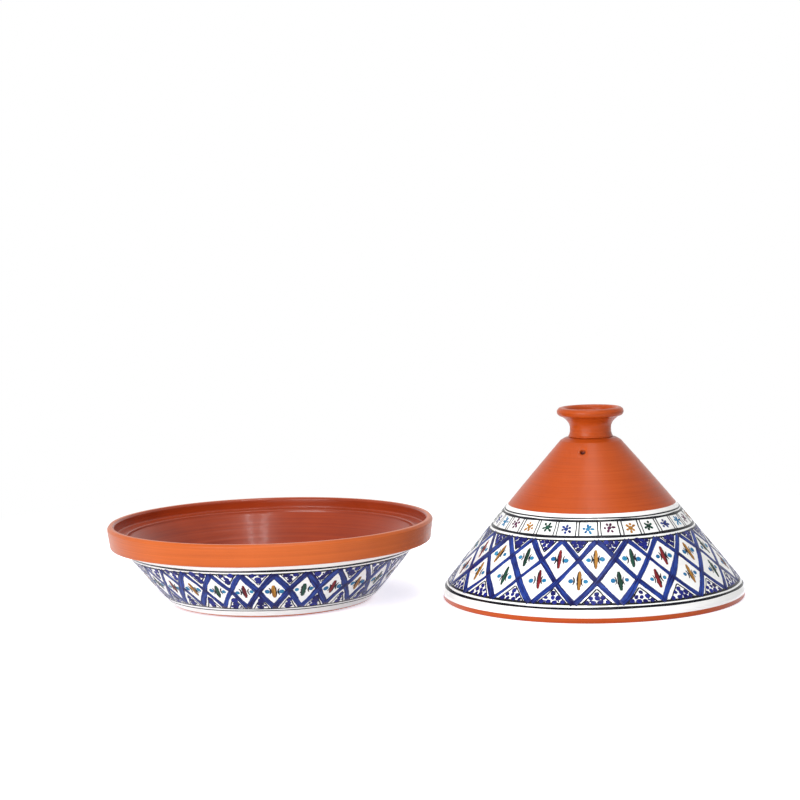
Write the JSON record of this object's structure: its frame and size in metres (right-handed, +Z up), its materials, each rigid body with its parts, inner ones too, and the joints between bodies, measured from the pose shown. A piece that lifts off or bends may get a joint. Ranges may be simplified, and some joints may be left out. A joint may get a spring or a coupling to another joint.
{
  "type": "tagine",
  "caption": "Shallow round clay cooking dish with a tall conical lid that lifts off by its cup-shaped knob, shown standing beside the dish.",
  "frame": {"origin": "centre of the dish's foot, on the surface it stands on", "axes": "+Z up; +X from the dish towards the lid that stands beside it; -Y is the front"},
  "size_m": [0.6312, 0.3267, 0.187],
  "materials": {
    "dish_clay": "bare turned terracotta, satin",
    "dish_white_glaze": "white glaze, hand painted, gloss",
    "dish_clear_glaze": "clear glaze over terracotta, gloss",
    "lid_clay": "bare turned terracotta, satin",
    "lid_white_glaze": "white glaze, hand painted, gloss",
    "knob_clay": "bare turned terracotta, satin"
  },
  "bodies": {
    "dish": {"dish_body": "dish_clay", "dish_painted_glaze": "dish_white_glaze", "dish_liner_glaze": "dish_clear_glaze"},
    "lid": {"lid_cone": "lid_clay", "lid_painted_glaze": "lid_white_glaze", "lid_knob": "knob_clay"}
  },
  "joints": [
    {"name": "lid_lift", "type": "slide", "parent": "dish", "child": "lid", "axis": [0, 0, 1], "range_m": [0, 0.18]}
  ]
}
